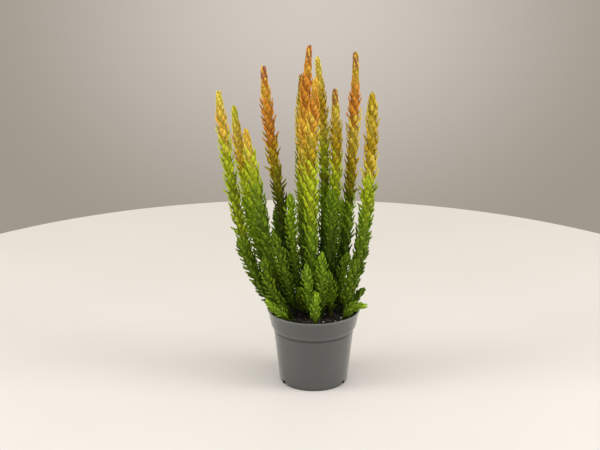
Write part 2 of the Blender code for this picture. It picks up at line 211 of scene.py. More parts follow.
# Foliage colours down each stem: millimetres below its tip, and the colour there
SPIKE_STOPS = {
    "spike_far_left": ((0, "gold"), (14, "gold"), (22, "amber"), (30, "gold"), (37, "lime"),
                       (46, "lime"), (56, "herb"), (64, "herb"), (86, "herb"), (104, "leaf"),
                       (140, "deep_shaded")),
    "spike_rear_left": ((0, "lime"), (6, "gold"), (20, "gold"), (27, "amber"), (34, "bronze"),
                        (41, "lime"), (66, "lime"), (84, "fresh"), (100, "leaf"), (130, "deep_shaded")),
    "spike_front_left": ((0, "amber"), (12, "gold"), (24, "lime"), (33, "herb"), (42, "leaf"),
                         (60, "grass"), (80, "leaf"), (100, "grass"), (130, "deep_shaded")),
    "spike_orange_left": ((0, "rust"), (4, "ember"), (9, "amber"), (18, "amber"), (28, "orange"),
                          (44, "orange"), (53, "bronze"), (62, "bronze"), (72, "olive"),
                          (84, "moss"), (115, "deep_shaded")),
    "spike_rear_middle": ((0, "rust"), (4, "bronze"), (12, "olive"), (20, "gold"), (42, "gold"),
                          (50, "olive"), (60, "herb"), (68, "lime"), (78, "lime"), (98, "leaf"),
                          (125, "deep_shaded")),
    "spike_tallest": ((0, "rust"), (4, "ember"), (9, "amber"), (13, "orange"), (34, "orange"),
                      (42, "amber"), (56, "amber"), (66, "gold"), (76, "gold"), (88, "lime"),
                      (100, "herb"), (115, "leaf"), (150, "deep_shaded")),
    "spike_front": ((0, "amber"), (10, "orange"), (20, "orange"), (28, "amber"), (34, "gold"),
                    (41, "bronze"), (52, "bronze"), (60, "lime"), (70, "lime"), (80, "lime"),
                    (86, "herb"), (97, "fresh"), (108, "leaf"), (126, "leaf"), (155, "deep_shaded")),
    "spike_rear_tall": ((0, "gold"), (14, "gold"), (22, "bronze"), (34, "bronze"), (44, "gold"),
                        (56, "lime"), (67, "lime"), (73, "olive"), (80, "fresh"), (98, "fresh"),
                        (110, "leaf"), (132, "deep_shaded")),
    "spike_inner_right": ((0, "rust"), (4, "bronze"), (7, "gold"), (20, "gold"), (28, "bronze"),
                          (40, "bronze"), (50, "lime"), (64, "lime"), (76, "fresh"), (92, "leaf"),
                          (130, "deep_shaded")),
    "spike_right_tall": ((0, "rust"), (5, "bronze"), (13, "amber"), (22, "orange"), (39, "orange"),
                         (45, "gold"), (57, "gold"), (64, "bronze"), (76, "bronze"), (84, "olive"),
                         (90, "moss"), (97, "fresh"), (118, "leaf"), (134, "deep_shaded")),
    "spike_far_right": ((0, "bronze"), (6, "bronze"), (14, "gold"), (25, "bronze"), (40, "bronze"),
                        (50, "gold"), (60, "lime"), (67, "herb"), (77, "leaf"), (96, "grass"),
                        (140, "deep_shaded")),
}
# The same for the short shoots, by shade
SHOOT_STOPS = {
    "lime": ((0, "lime"), (5, "herb"), (18, "herb"), (32, "leaf"), (56, "grass"), (90, "deep_shaded")),
    "fresh": ((0, "fresh"), (18, "fresh"), (42, "leaf"), (80, "deep_shaded")),
    "leaf": ((0, "leaf"), (20, "leaf"), (42, "deep_shaded")),
    "grass": ((0, "grass"), (24, "grass"), (50, "deep_shaded")),
    "rim": ((0, "fresh"), (4, "leaf"), (9, "leaf"), (20, "grass")),
}
SHOOT_SHADES = {
    "shoot_far_right": "lime",
    "shoot_left_middle": "fresh",
    "shoot_middle": "fresh",
    "shoot_green": "leaf",
    "shoot_left_rear": "leaf",
    "shoot_rear_left": "leaf",
    "shoot_rear_middle": "fresh",
    "shoot_rear_right": "leaf",
    "shoot_front_left": "leaf",
    "shoot_front_right": "leaf",
    "shoot_rim_front": "rim",
    "shoot_rim_left": "rim",
    "shoot_rim_right": "rim",
    "shoot_middle_right": "leaf",
    "shoot_right": "leaf",
}
# Share of the usual slim tip, and of the usual leaf size, on each spike
SPIKE_SHAPES = {
    "spike_far_left": (0.6, 1.03),
    "spike_rear_left": (0.8, 1.0),
    "spike_front_left": (0.5, 1.08),
    "spike_orange_left": (0.9, 1.05),
    "spike_rear_middle": (0.7, 0.90),
    "spike_tallest": (1.1, 1.0),
    "spike_front": (0.8, 1.03),
    "spike_rear_tall": (1.0, 0.95),
    "spike_inner_right": (0.8, 1.0),
    "spike_right_tall": (1.7, 1.0),
    "spike_far_right": (0.2, 1.12),
}
# Leaf size of the shoots at the rim and of the sprig, as a share of the usual size
RIM_FULL = 0.90
SPRIG_FULL = 0.66
# Number of the first shoot and of the sprig, which their turns and seeds come from
FIRST_SHOOT = 50
SPRIG_NUMBER = 7
# Length that a colour band covers, in metres
STOP_SPAN = 0.17

# Centre line of a stem: points and degree of its curve, and how firmly its ends are held
PATH_POINTS = 44
PATH_DEGREE = 4
END_WEIGHT = 60.0
# How far below the peat's top a stem starts, and where its leaves start on it
FOOT_SINK = 2.5 * MM
FIRST_LEAF = FOOT_SINK + 1.0 * MM
# Leaves and wood are smaller in the shade at a stem's foot: share of their size at the very foot,
# how far up this goes, and how far it goes at most as a share of the stem. The leaves are also
# painted darker there, as painted shade
FOOT_SHARE = 0.48
SHADED_LENGTH = 27.0 * MM
MOST_SHADED = 0.3
# More leaves than any stem takes; those that would come below the first leaf are left out
MOST_LEAVES = 340
# Young pairs stand closer: how many do, by how much, and where the first one stands
TIP_PAIRS = 5.0
TIP_CLOSENESS = 0.45
TIP_REACH = 0.86
# Each pair is crossed with the one before, and turned a little more
PAIR_TURN = 0.5 * pi + radians(13.0)
# How the lean of single leaves differs, in radians, and how much of that the tip leaves take
LEAN_JITTER = 0.10
LEAN_JITTER_TIP = 0.35
# Old leaves that stand out further: by how much, in radians, and from where to where down the stem
ASTRAY_LEAN = 0.6
ASTRAY_SPAN = (20.0 * MM, 70.0 * MM)
# Leaves at the very tip close over it
CLOSED_LEAN = radians(-15.0)
CLOSED_LENGTH = 7.0 * MM
# Random share of a leaf's length and width
LENGTH_RANGE = (0.87, 1.10)
WIDTH_RANGE = (0.88, 1.12)
# Wood: girth at the tip, depth of the leaves' roots in it, its very end, and its sides
TIP_GIRTH = 0.66
ROOT_DEPTH = 0.75
END_SPAN = (0.4 * MM, 2.4 * MM)
END_GIRTH = (0.2, 0.96)
STEM_SIDES = 8

# Lightness of the leaves, as shares of their colour: painted shade at the roots, more of it further
# down the stem, and painted shade at the foot; the rest is the leaves' own tone
ROOT_SHADE = (0.86, 0.64)
ROOT_SHADE_DEPTHS = (30.0 * MM, 90.0 * MM)
FOOT_SHADE = 0.55
LOT_LIGHT = (0.88, 1.14)
MOTTLE_LIGHT = (0.86, 1.12)
KEEL_LIGHT = 1.08
END_LIGHT = (0.72, 1.22)
# Where these lie on a leaf: along it for its root and its end, and across it for its keel
ROOT_PLACE = (0.05, 0.6)
END_PLACE = (0.7, 1.0)
KEEL_PLACE = (0.55, 1.0)
# Random values between which a leaf's end passes from dark to light
END_PICK = (0.25, 0.6)
# Factors that make further random values out of the one that each leaf carries
END_FACTOR = 41.7
LOT_FACTOR = 17.3
# How far a leaf's colour may come from up or down the stem, and how much bark shows on the wood
COLOUR_SHIFT = 14.0 * MM
BARK_SHARE = 0.15

# Camera of the picture: its place in metres, how far it looks down in degrees, its lens and sensor
# in millimetres, and the nearest distance that it sees in metres
CAMERA_PLACE = (-0.0089, -1.2061, 0.5299)
CAMERA_TILT = 19.35
CAMERA_LENS = 120.0
CAMERA_SENSOR = 36.0
CAMERA_NEAREST = 0.01
# Round floor, in metres: its far edge, its thickness, the depths between which its colour darkens
# towards the far side as painted shade, and the size of its faint clouds, with their tones as
# shares of its colour
FLOOR_SIDES = 256
FLOOR_EDGE = 0.366
FLOOR_THICKNESS = 0.02
FLOOR_FADE = (-0.1, 0.36)
FLOOR_CLOUD = 0.12
FLOOR_TONES = (0.985, 1.015)
# Pale middle of the wall, as a direction, with its stretch and its reach
GLOW_CENTRE = Vector((0.004, 0.9735, -0.222))
GLOW_SHAPE = Vector((1.0, 1.0, 1.3))
GLOW_REACH = 0.19
# Slopes of view between which the wall passes into the even light from above
AIR_SLOPES = (-0.2, 0.05)
# Soft lights: name, size and place, in metres, and the point that they face
LIGHTS = (
    ("top", 1.0, (0.0, -0.35, 1.3)),
    ("left", 0.7, (-1.05, -0.28, 0.72)),
    ("right", 0.7, (1.05, -0.28, 0.72)),
)
LIGHT_TARGET = Vector((0.0, 0.0, 0.08))


def length_setting(name, description, size):
    """A length that a user may change; its default is in millimetres."""
    return FloatProperty(name=name, description=description, default=size * MM, unit="LENGTH",
                         precision=5)


def angle_setting(name, description, size):
    """An angle that a user may change; its default is in degrees."""
    return FloatProperty(name=name, description=description, default=radians(size),
                         subtype="ANGLE")


def colour_setting(name, description, colour):
    """A colour that a user may change."""
    return FloatVectorProperty(name=name, description=description, default=colour,
                               subtype="COLOR", min=0.0, max=1.0)


def power_setting(name, description, power):
    """The power of a light, in watts, that a user may change."""
    return FloatProperty(name=name, description=description, default=power, unit="POWER", min=0.0)


class PotSettings(bpy.types.PropertyGroup):
    """The moulded pot."""

    sides: IntProperty(name="Sides", description="Faces round the pot", default=144, min=24)
    drain_count: IntProperty(
        name="Drain holes", description="Round holes in the floor", default=6, min=1)
    drain_radius: length_setting("Drain radius", "Radius of each round hole", 1.8)
    notch_width: length_setting("Notch width", "Width of the openings at the base corner", 3.6)
    notch_height: length_setting("Notch height", "Height of the openings at the base corner", 2.9)
    grey: colour_setting("Grey", "Colour of the plastic", (0.079, 0.084, 0.080))
    roughness: FloatProperty(
        name="Roughness", description="Dullness of the plastic", default=0.36, min=0.0, max=1.0,
        subtype="FACTOR")


class PeatSettings(bpy.types.PropertyGroup):
    """The peat and what lies on it."""

    lump_height: length_setting("Lump height", "Height of the lumps in the peat's top", 1.1)
    crumb_gap: length_setting("Crumb gap", "Least distance between crumbs", 0.85)
    crumb_size: length_setting("Crumb size", "Radius of the largest crumbs", 1.05)
    grain_count: IntProperty(
        name="White grains", description="Pale mineral grains on the peat", default=6, min=0)
    fibre_count: IntProperty(
        name="Fibres", description="Pale plant fibres on the peat", default=26, min=0)
    dark: colour_setting("Peat", "Colour of moist peat", (0.0165, 0.0142, 0.0118))
    dusty: colour_setting("Dusty", "Colour of the paler, drier crumbs", (0.25, 0.23, 0.20))
    pale: colour_setting("Grain", "Colour of the mineral grains", (0.62, 0.60, 0.55))
    straw: colour_setting("Fibre", "Colour of the plant fibres", (0.26, 0.18, 0.10))
    seed: IntProperty(name="Seed", description="Start of the random spread", default=5)


class SpikeSettings(bpy.types.PropertyGroup):
    """Foliage of the long spikes."""

    leaf_length: length_setting("Leaf length", "Length of a full leaf", 5.0)
    tip_leaf_length: length_setting("Tip leaf length", "Length of the youngest leaves", 3.0)
    spacing: length_setting("Pair spacing", "Distance between pairs of leaves", 1.45)
    lean: angle_setting("Lean", "Angle between a full leaf and the stem", 19.0)
    tip_lean: angle_setting("Tip lean", "Angle between the youngest leaves and the stem", -4.0)
    slim_length: length_setting("Slim length", "Length of the slim tip", 9.0)
    swell_length: length_setting("Swell length", "Length in which leaves grow to full size", 20.0)
    stem_radius: length_setting("Stem radius", "Radius of the woody stem", 2.75)
    scatter: angle_setting("Scatter", "How far a leaf may turn out of its row", 9.0)


class ShootSettings(bpy.types.PropertyGroup):
    """Foliage of the short shoots."""

    leaf_length: length_setting("Leaf length", "Length of a full leaf", 4.4)
    tip_leaf_length: length_setting("Tip leaf length", "Length of the youngest leaves", 3.0)
    spacing: length_setting("Pair spacing", "Distance between pairs of leaves", 1.35)
    lean: angle_setting("Lean", "Angle between a full leaf and the stem", 31.0)
    tip_lean: angle_setting("Tip lean", "Angle between the youngest leaves and the stem", -4.0)
    slim_length: length_setting("Slim length", "Length of the slim tip", 0.5)
    swell_length: length_setting("Swell length", "Length in which leaves grow to full size", 13.0)
    stem_radius: length_setting("Stem radius", "Radius of the woody stem", 2.2)
    scatter: angle_setting("Scatter", "How far a leaf may turn out of its row", 24.0)


class FoliageColours(bpy.types.PropertyGroup):
    """Colours that the leaves pass through from tip to foot."""

    rust: colour_setting("Rust", "Very tips", (0.50, 0.19, 0.100))
    ember: colour_setting("Ember", "Red-orange leaves", (0.74, 0.26, 0.030))
    orange: colour_setting("Orange", "Orange leaves", (0.75, 0.318, 0.038))
    amber: colour_setting("Amber", "Amber leaves", (0.89, 0.53, 0.058))
    gold: colour_setting("Gold", "Golden leaves", (0.86, 0.67, 0.088))
    bronze: colour_setting("Bronze", "Golden-brown leaves", (0.60, 0.42, 0.021))
    olive: colour_setting("Olive", "Olive leaves", (0.38, 0.35, 0.014))
    moss: colour_setting("Moss", "Dark olive leaves", (0.155, 0.178, 0.006))
    lime: colour_setting("Lime", "Lime leaves", (0.605, 0.71, 0.028))
    herb: colour_setting("Herb green", "Muted yellow-green leaves", (0.39, 0.485, 0.014))
    fresh: colour_setting("Fresh green", "Young green leaves", (0.33, 0.51, 0.018))
    leaf: colour_setting("Leaf green", "Grown green leaves", (0.215, 0.350, 0.018))
    grass: colour_setting("Grass green", "Leaves of the short shoots", (0.132, 0.212, 0.008))
    # Old leaves near the foot, also darkened as painted shade of the thicket low on every stem
    deep_shaded: colour_setting("Deep green", "Old leaves near the foot", (0.062, 0.125, 0.007))
    bark: colour_setting("Bark", "Stems between the leaves", (0.060, 0.075, 0.014))


class StageSettings(bpy.types.PropertyGroup):
    """Floor and light."""

    floor_radius: length_setting("Floor radius", "Radius of the round floor", 375.0)
    floor_colour: colour_setting("Floor", "Colour of the floor", (0.828, 0.792, 0.748))
    # Painted shade: the floor's far side is darker
    far_colour: colour_setting("Far floor", "Colour of the floor's far side", (0.785, 0.745, 0.680))
    wall_colour: colour_setting("Wall", "Colour behind the floor", (0.350, 0.312, 0.262))
    glow_colour: colour_setting("Glow", "Pale middle of the wall", (0.648, 0.593, 0.536))
    air_colour: colour_setting("Air", "Colour of the even light from above", (0.60, 0.575, 0.545))
    air_strength: FloatProperty(
        name="Air strength", description="Strength of the even light", default=1.0, min=0.0)
    top_power: power_setting("Top power", "Power of the soft light overhead", 3.5)
    left_power: power_setting("Left power", "Power of the soft light on the left", 5.7)
    right_power: power_setting("Right power", "Power of the soft light on the right", 6.5)


def feed(tree, socket, value):
    """Link a socket to another one, or set its value."""
    if isinstance(value, bpy.types.NodeSocket):
        tree.links.new(value, socket)
    else:
        socket.default_value = value


def add_node(tree, kind, inputs=None, **options):
    """Add a node with its options set and its inputs fed."""
    node = tree.nodes.new(kind)
    for option, value in options.items():
        setattr(node, option, value)
    for key, value in (inputs or {}).items():
        feed(tree, node.inputs[key], value)
    return node


def calc(tree, operation, *values):
    """Result of a sum on one to three values."""
    return add_node(tree, "ShaderNodeMath", dict(enumerate(values)), operation=operation).outputs[0]


def product(tree, first, *others):
    """Product of two or more values."""
    for other in others:
        first = calc(tree, "MULTIPLY", first, other)
    return first


def ease(tree, value, start, end, first, last, kind="SMOOTHSTEP"):
    """Value that passes from first to last while the input passes from start to end."""
    inputs = dict(enumerate((value, start, end, first, last)))
    return add_node(tree, "ShaderNodeMapRange", inputs, interpolation_type=kind).outputs[0]


def chance(tree, low, high, seed, step):
    """A random value for each element, from a seed and a step of its own."""
    index = add_node(tree, "GeometryNodeInputIndex").outputs[0]
    inputs = {2: low, 3: high, 7: index, 8: calc(tree, "ADD", seed, step)}
    return add_node(tree, "FunctionNodeRandomValue", inputs, data_type="FLOAT").outputs[1]


def new_tree(name, sockets):
    """An empty geometry tree with named inputs, and the sockets that those inputs feed."""
    tree = bpy.data.node_groups.new(name, "GeometryNodeTree")
    tree.interface.new_socket("Geometry", in_out="INPUT", socket_type="NodeSocketGeometry")
    for socket_name, kind in sockets:
        tree.interface.new_socket(socket_name, in_out="INPUT", socket_type="NodeSocket" + kind)
    tree.interface.new_socket("Geometry", in_out="OUTPUT", socket_type="NodeSocketGeometry")
    return tree, tree.nodes.new("NodeGroupInput").outputs


def store(tree, geometry, **values):
    """Keep values on a geometry under their names, for the materials."""
    for name, value in values.items():
        geometry = add_node(tree, "GeometryNodeStoreNamedAttribute", {
            "Geometry": geometry, "Name": name, "Value": value}).outputs[0]
    return geometry


def finish_tree(tree, parts, material):
    """Join parts, make their instances real, set the material and send all to the output."""
    whole = add_node(tree, "GeometryNodeJoinGeometry")
    for part in parts:
        tree.links.new(part, whole.inputs[0])
    real = add_node(tree, "GeometryNodeRealizeInstances", {"Geometry": whole.outputs[0]})
    painted = add_node(tree, "GeometryNodeSetMaterial", {
        "Geometry": real.outputs[0], "Material": material})
    add_node(tree, "NodeGroupOutput", {"Geometry": painted.outputs[0]})


def apply_tree(item, tree, values):
    """Run a tree on an object and turn the object into the plain mesh that comes out."""
    modifier = item.modifiers.new(tree.name, "NODES")
    modifier.node_group = tree
    for socket in tree.interface.items_tree:
        if socket.in_out == "INPUT" and socket.name in values:
            modifier[socket.identifier] = values[socket.name]
    return settle(item)


def settle(item):
    """Replace an object by a plain mesh of its evaluated shape."""
    name = item.name
    graph = bpy.context.evaluated_depsgraph_get()
    mesh = bpy.data.meshes.new_from_object(
        item.evaluated_get(graph), preserve_all_data_layers=True, depsgraph=graph)
    for modifier in list(item.modifiers):
        item.modifiers.remove(modifier)
    bpy.data.objects.remove(item, do_unlink=True)
    if not mesh.polygons:
        raise RuntimeError(name + " came out empty")
    mesh.name = name
    return link_object(name, mesh)


def link_object(name, data):
    """Put data into the scene as an object at the origin."""
    item = bpy.data.objects.new(name, data)
    bpy.context.scene.collection.objects.link(item)
    return item


def form_object(name, form):
    """Turn a bmesh into an object at the origin."""
    mesh = bpy.data.meshes.new(name)
    form.to_mesh(mesh)
    form.free()
    return link_object(name, mesh)


def hand_in(piece, slot, *nodes):
    """Let a piece ride on the body and stand for its solids."""
    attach(piece, BODY)
    if nodes:
        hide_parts(*nodes)


def new_material(name):
    """A principled material, its tree and its shader."""
    material = bpy.data.materials.new(name)
    material.use_nodes = True
    return material, material.node_tree, material.node_tree.nodes["Principled BSDF"]


def set_shader(shader, **values):
    """Set plain values on a shader's sockets; underscores stand for spaces."""
    for name, value in values.items():
        shader.inputs[name.replace("_", " ")].default_value = value


def object_place(tree):
    """Place on the object, in metres."""
    return add_node(tree, "ShaderNodeTexCoord").outputs["Object"]


def place_along(tree, axis):
    """Place on the object along one axis, in metres."""
    return add_node(tree, "ShaderNodeSeparateXYZ", {0: object_place(tree)}).outputs[axis]


def grain(tree, size, detail=2.0):
    """Noise whose grains are about so large, in metres."""
    inputs = {"Vector": object_place(tree), "Scale": 1.0 / size, "Detail": detail}
    return add_node(tree, "ShaderNodeTexNoise", inputs).outputs["Fac"]


def blend(tree, share, first, second, kind="MIX"):
    """Mix of two colours."""
    inputs = {0: share, 6: first, 7: second}
    node = add_node(tree, "ShaderNodeMix", inputs, data_type="RGBA", blend_type=kind)
    return node.outputs[2]


def tinted(tree, colour, light):
    """A colour made lighter or darker by a value."""
    shade = add_node(tree, "ShaderNodeCombineColor", {0: light, 1: light, 2: light}).outputs[0]
    return blend(tree, 1.0, colour, shade, kind="MULTIPLY")


def opaque(colour):
    """A colour with its alpha."""
    return (*colour, 1.0)


def attribute(tree, name):
    """A value that the mesh carries."""
    return add_node(tree, "ShaderNodeAttribute", attribute_name=name).outputs["Fac"]


def raise_surface(tree, shader, height, distance, strength):
    """Fine relief on a shader."""
    inputs = {"Height": height, "Distance": distance, "Strength": strength}
    bump = add_node(tree, "ShaderNodeBump", inputs)
    feed(tree, shader.inputs["Normal"], bump.outputs["Normal"])


def change(tree, height, span, first, last):
    """Value that passes from first to last between two heights in millimetres."""
    return ease(tree, height, span[0] * MM, span[1] * MM, first, last)


def painted_shade_share(tree, height):
    """How much painted shade darkens the plastic and takes away its coat: most in the hollow under
    the rim band, and at the foot.
    """
    hollow = product(tree, change(tree, height, HOLLOW_START, 0.0, 0.8),
                     change(tree, height, HOLLOW_END, 1.0, 0.0))
    return calc(tree, "MAXIMUM", hollow, change(tree, height, FOOT_EDGE, 0.0, 0.8))


def dust_share(tree, height):
    """Specks of peat dust near the rim, and fewer near the foot."""
    specks = ease(tree, grain(tree, 0.7 * MM, detail=4.0), 0.62, 0.70, 0.0, 0.55)
    near = calc(tree, "MAXIMUM", change(tree, height, DUSTY_RIM, 0.0, 1.0),
                change(tree, height, DUSTY_FOOT, 0.0, 0.5))
    return product(tree, specks, near)


def plastic_material(settings):
    """Grey moulded plastic with a fine grain, painted shade in the hollow and at the foot, a
    painted highlight on the lip, and a little peat dust.
    """
    material, tree, shader = new_material("pot_plastic")
    grey = Vector(settings.grey)
    height = place_along(tree, "Z")
    painted_shade = painted_shade_share(tree, height)
    dust = dust_share(tree, height)
    tone = blend(tree, grain(tree, 9.0 * MM), *(opaque(grey * share) for share in PLASTIC_CLOUD))
    # Painted shade: darker in the hollow under the rim band and at the foot
    tone = blend(tree, painted_shade, tone, opaque(grey * PLASTIC_SHADE))
    # Painted highlight: a paler line along the lip
    lip = change(tree, height, LIP_EDGE, 0.0, 0.7)
    tone = blend(tree, lip, tone, opaque(grey * PLASTIC_LIP_HIGHLIGHT))
    feed(tree, shader.inputs["Base Color"], blend(tree, dust, tone, opaque(DUST_COLOUR)))
    least, most = (settings.roughness + spread for spread in DULLNESS_SPREAD)
    rough = ease(tree, grain(tree, 3.0 * MM), *NOISE_SPAN, least, most, kind="LINEAR")
    rough = calc(tree, "MAXIMUM", rough, product(tree, dust, DUST_DULLNESS))
    feed(tree, shader.inputs["Roughness"], rough)
    # Less coat where shade is painted
    feed(tree, shader.inputs["Coat Weight"], calc(tree, "SUBTRACT", 1.0, painted_shade))
    set_shader(shader, IOR=1.49, Specular_IOR_Level=0.55, Coat_Roughness=0.25)
    fine = grain(tree, 0.35 * MM)
    skin = calc(tree, "ADD", fine, product(tree, grain(tree, 4.0 * MM), 1.4))
    raise_surface(tree, shader, skin, 0.03 * MM, 0.6)
    return material


def peat_material(settings):
    """Crumbly, almost black peat with paler, drier crumbs."""
    material, tree, shader = new_material("peat")
    dark = Vector(settings.dark)
    low, high = (opaque(dark * share) for share in PEAT_TONES)
    tone = blend(tree, grain(tree, 1.1 * MM, detail=5.0), low, high)
    brown = ease(tree, grain(tree, 2.6 * MM), 0.56, 0.70, 0.0, 0.55)
    tone = blend(tree, brown, tone, opaque(dark * PEAT_EARTH))
    dry = ease(tree, attribute(tree, "chance"), 0.72, 1.0, 0.0, 0.8)
    feed(tree, shader.inputs["Base Color"], blend(tree, dry, tone, opaque(settings.dusty)))
    set_shader(shader, Roughness=0.92, Specular_IOR_Level=0.3)
    raise_surface(tree, shader, grain(tree, 0.4 * MM, detail=6.0), 0.25 * MM, 0.9)
    return material


def speck_material(name, colour, grain_size):
    """Matte specks and fibres, darker and paler than their colour in places."""
    material, tree, shader = new_material(name)
    tint = Vector(colour)
    tone = blend(tree, grain(tree, grain_size, detail=3.0), opaque(tint * 0.6), opaque(tint * 1.25))
    feed(tree, shader.inputs["Base Color"], tone)
    set_shader(shader, Roughness=0.85, Specular_IOR_Level=0.25)
    raise_surface(tree, shader, grain(tree, grain_size * 0.5), 0.05 * MM, 0.5)
    return material


def colour_band(tree, position, stops, palette):
    """Colours that follow one another down a stem."""
    ramp = add_node(tree, "ShaderNodeValToRGB", {"Fac": position})
    elements = ramp.color_ramp.elements
    while len(elements) < len(stops):
        elements.new(1.0)
    for element, (below, colour) in zip(elements, stops):
        element.position = below * MM / STOP_SPAN
        element.color = opaque(getattr(palette, colour))
    return ramp.outputs["Color"]


def other_chance(tree, pick, factor):
    """Another random value, made from the one that each leaf carries."""
    return calc(tree, "FRACT", product(tree, pick, factor))


def leaf_light(tree, pick):
    """Lightness of the leaves: painted shade at the roots and at the foot, a pale keel, light or
    dark tips, and no two alike.
    """
    along = attribute(tree, "along")
    # Painted shade at the leaves' roots, deeper further down the stem
    depth = ease(tree, attribute(tree, "below_tip"), *ROOT_SHADE_DEPTHS, *ROOT_SHADE)
    end_light = ease(tree, other_chance(tree, pick, END_FACTOR), *END_PICK, *END_LIGHT)
    at_end = ease(tree, along, *END_PLACE, 0.0, 1.0)
    return product(
        tree, ease(tree, along, *ROOT_PLACE, depth, 1.0),
        # Painted shade at the stem's foot, from the rise share
        ease(tree, attribute(tree, "rise"), FOOT_SHARE, 1.0, FOOT_SHADE, 1.0, kind="LINEAR"),
        ease(tree, other_chance(tree, pick, LOT_FACTOR), 0.0, 1.0, *LOT_LIGHT, kind="LINEAR"),
        ease(tree, grain(tree, 1.6 * MM), *NOISE_SPAN, *MOTTLE_LIGHT, kind="LINEAR"),
        ease(tree, attribute(tree, "keel"), *KEEL_PLACE, 1.0, KEEL_LIGHT),
        calc(tree, "MULTIPLY_ADD", at_end, calc(tree, "SUBTRACT", end_light, 1.0), 1.0))


def leaf_material(name, stops, palette):
    """Waxy leaves that change colour down the stem."""
    material, tree, shader = new_material(name)
    pick = attribute(tree, "chance")
    shift = product(tree, calc(tree, "SUBTRACT", pick, 0.5), COLOUR_SHIFT)
    below = calc(tree, "ADD", attribute(tree, "below_tip"), shift)
    colour = colour_band(tree, calc(tree, "DIVIDE", below, STOP_SPAN), stops, palette)
    colour = tinted(tree, colour, leaf_light(tree, pick))
    woody = product(tree, attribute(tree, "woody"), BARK_SHARE)
    colour = blend(tree, woody, colour, opaque(palette.bark))
    feed(tree, shader.inputs["Base Color"], colour)
    set_shader(shader, Roughness=0.6, Specular_IOR_Level=0.12, Subsurface_Weight=0.2,
               Subsurface_Scale=0.8 * MM, Subsurface_Radius=(1.0, 0.8, 0.25))
    raise_surface(tree, shader, grain(tree, 0.5 * MM), 0.06 * MM, 0.35)
    return material


def round_corners(corners):
    """Points of a section whose corners are rounded, in millimetres."""
    points = [Vector(corners[0][:2])]
    for before, here, after in zip(corners, corners[1:], corners[2:]):
        corner = Vector(here[:2])
        start = corner + (Vector(before[:2]) - corner).normalized() * here[2]
        end = corner + (Vector(after[:2]) - corner).normalized() * here[2]
        for step in range(ROUND_STEPS):
            share = step / (ROUND_STEPS - 1)
            points.append(start.lerp(corner, share).lerp(corner.lerp(end, share), share))
    points.append(Vector(corners[-1][:2]))
    return points


def ring_points(radius, sides):
    """Places round a circle, as pairs of x and y."""
    angles = [2.0 * pi * side / sides for side in range(sides)]
    return [(radius * cos(angle), radius * sin(angle)) for angle in angles]


def turn_section(points, sides):
    """Closed body turned from a section whose two ends lie on the axis."""
    form = bmesh.new()
    first = form.verts.new((0.0, 0.0, points[0].y * MM))
    last = form.verts.new((0.0, 0.0, points[-1].y * MM))
    rings = [[form.verts.new((x, y, point.y * MM)) for x, y in ring_points(point.x * MM, sides)]
             for point in points[1:-1]]
    for side in range(sides):
        after = (side + 1) % sides
        form.faces.new((first, rings[0][after], rings[0][side]))
        form.faces.new((last, rings[-1][side], rings[-1][after]))
        for low, high in zip(rings, rings[1:]):
            form.faces.new((low[side], low[after], high[after], high[side]))
    return form


def close_tube(form, rings, tip=None):
    """Faces along rings, with a cap at the first ring, and a tip or a cap at the last one."""
    for low, high in zip(rings, rings[1:]):
        for corner in range(len(low)):
            after = (corner + 1) % len(low)
            form.faces.new((low[corner], low[after], high[after], high[corner]))
    form.faces.new(list(reversed(rings[0])))
    if tip is None:
        form.faces.new(rings[-1])
    else:
        for corner, vert in enumerate(rings[-1]):
            form.faces.new((vert, rings[-1][(corner + 1) % len(rings[-1])], tip))


def smooth_object(name, form):
    """Turn a bmesh into an object that is shaded smooth."""
    for face in form.faces:
        face.smooth = True
    return form_object(name, form)


def drain_cutter(settings):
    """Round holes through the floor and notches through the base corner, as one cutter."""
    form = bmesh.new()
    for step in range(settings.drain_count):
        angle = 2.0 * pi * (step + 0.5) / settings.drain_count
        place = Vector((DRAIN_RING * cos(angle), DRAIN_RING * sin(angle), FLOOR_TOP / 2.0)) * MM
        bmesh.ops.create_cone(
            form, cap_ends=True, segments=DRAIN_FACES, radius1=settings.drain_radius,
            radius2=settings.drain_radius, depth=2.0 * FLOOR_TOP * MM,
            matrix=Matrix.Translation(place))
    for turn in NOTCH_TURNS:
        place = Matrix.Translation(((NOTCH_INNER + NOTCH_REACH / 2.0) * MM, 0.0, 0.0))
        size = Matrix.Diagonal((NOTCH_REACH * MM, settings.notch_width,
                                2.0 * settings.notch_height, 1.0))
        made = bmesh.ops.create_cube(
            form, size=1.0, matrix=Matrix.Rotation(radians(turn), 4, "Z") @ place @ size)
        edges = {edge for vert in made["verts"] for edge in vert.link_edges}
        bmesh.ops.bevel(form, geom=list(edges), offset=NOTCH_ROUND * MM,
                        segments=NOTCH_ROUND_STEPS, affect="EDGES", profile=0.5)
    return form_object("drain_cutter", form)


def make_pot(settings):
    """The thin pot with its rolled lip, rim band, foot ring and openings."""
    pot = form_object("nursery_pot", turn_section(round_corners(POT_CORNERS), settings.sides))
    cutter = drain_cutter(settings)
    cut = pot.modifiers.new("drains", "BOOLEAN")
    cut.object = cutter
    cut.solver = "EXACT"
    pot = settle(pot)
    bpy.data.objects.remove(cutter, do_unlink=True)
    pot.data.shade_smooth()
    pot.data.set_sharp_from_angle(angle=radians(SHARP_ANGLE))
    pot.data.materials.clear()
    pot.data.materials.append(plastic_material(settings))
    return pot


def peat_height(x, y, lump_height):
    """Height of the peat's top, in metres."""
    place = Vector((x, y, 0.0)) / MM
    lumps = sum(share * noise.noise(place * waves + Vector(shift))
                for waves, share, shift in PEAT_LUMPS)
    edge = max(0.0, (Vector((x, y)).length / MM - PEAT_FLAT) / PEAT_FALL)
    return (PEAT_LEVEL - PEAT_DROP * edge * edge) * MM + lump_height * lumps


